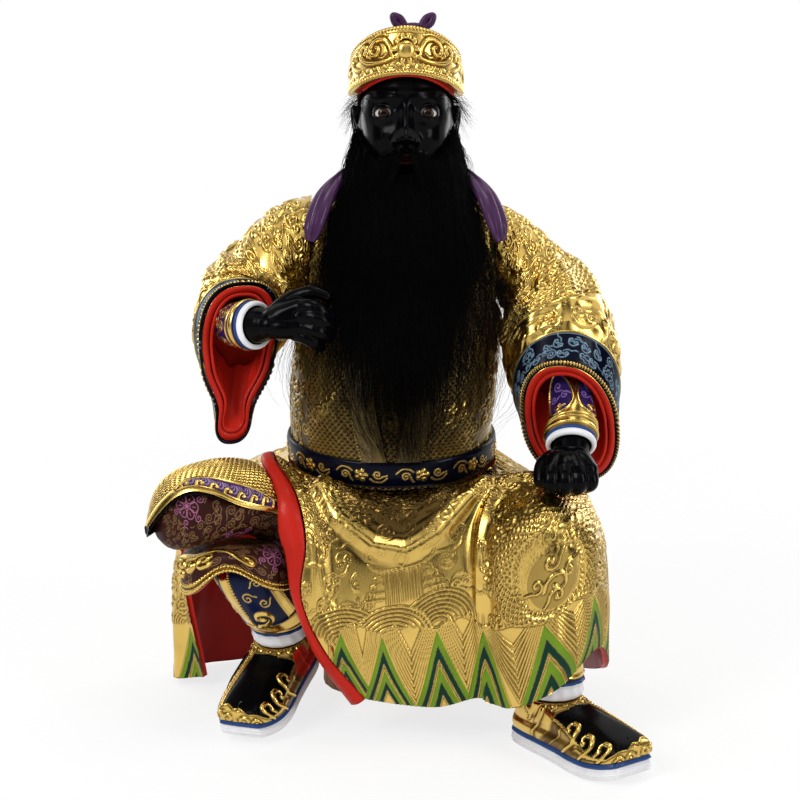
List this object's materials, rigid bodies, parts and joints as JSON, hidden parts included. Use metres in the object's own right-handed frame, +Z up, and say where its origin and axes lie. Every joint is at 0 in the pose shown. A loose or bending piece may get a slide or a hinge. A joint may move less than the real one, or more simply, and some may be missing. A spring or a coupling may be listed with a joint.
{
  "type": "seated altar figure",
  "caption": "Seated gilded altar figure in carved robe and armour: black lacquer face, long hair beard, a lift-off arched cap, right hand at the beard and left hand on the knee.",
  "frame": {"origin": "a point on the flat underside of the seat block, below the middle of the body", "axes": "+Z up; the figure faces -Y; +X to the figure's left (right as seen from the front)"},
  "size_m": [0.3308, 0.287, 0.4886],
  "materials": {
    "gilt_wood": "gold leaf over raised lacquer relief, polished",
    "red_lacquer": "satin vermilion lacquer",
    "bare_wood": "bare turned camphor wood",
    "eye_glass": "inlaid glass eye, clear and glossy",
    "black_lacquer": "polished black lacquer",
    "horsehair": "fine black hair, slight sheen",
    "plum_lacquer": "satin plum lacquer",
    "navy_lacquer": "satin navy lacquer with gold lines",
    "brocade_lacquer": "dark brown lacquer with gold tracery and mauve flowers",
    "white_lacquer": "satin white lacquer"
  },
  "bodies": {
    "figure": {"seat_block": "red_lacquer", "body_dowel": "bare_wood", "robe_body": "gilt_wood", "neck_dowel": "bare_wood", "head": "black_lacquer", "eye_right": "eye_glass", "eye_left": "eye_glass", "beard": "horsehair", "temple_hair_right": "horsehair", "temple_hair_left": "horsehair", "lappet_right": "plum_lacquer", "lappet_left": "plum_lacquer", "lapel_right": "navy_lacquer", "lapel_left": "navy_lacquer", "belt": "navy_lacquer", "robe_front": "gilt_wood", "robe_edge": "red_lacquer", "robe_back": "gilt_wood", "sleeve_right": "gilt_wood", "sleeve_lining_right": "red_lacquer", "sleeve_band_right": "navy_lacquer", "bracer_right": "navy_lacquer", "wrist_ruff_right": "white_lacquer", "hand_right": "black_lacquer", "sleeve_left": "gilt_wood", "sleeve_lining_left": "red_lacquer", "sleeve_band_left": "navy_lacquer", "bracer_left": "navy_lacquer", "wrist_ruff_left": "white_lacquer", "hand_left": "black_lacquer", "trouser_right": "brocade_lacquer", "thigh_guard": "gilt_wood", "guard_trim": "plum_lacquer", "knee_flap": "brocade_lacquer", "greave_right": "navy_lacquer", "sock_right": "white_lacquer", "boot_right": "gilt_wood", "welt_right": "navy_lacquer", "sole_right": "white_lacquer", "greave_left": "navy_lacquer", "sock_left": "white_lacquer", "boot_left": "gilt_wood", "welt_left": "navy_lacquer", "sole_left": "white_lacquer"},
    "crown": {"crown_band": "gilt_wood", "crown_liner": "red_lacquer", "crown_boss": "gilt_wood", "cap_dome": "plum_lacquer", "cap_loops": "plum_lacquer"}
  },
  "joints": [
    {"name": "crown_lift", "type": "slide", "parent": "figure", "child": "crown", "axis": [0, 0, 1], "range_m": [0, 0.06]}
  ]
}
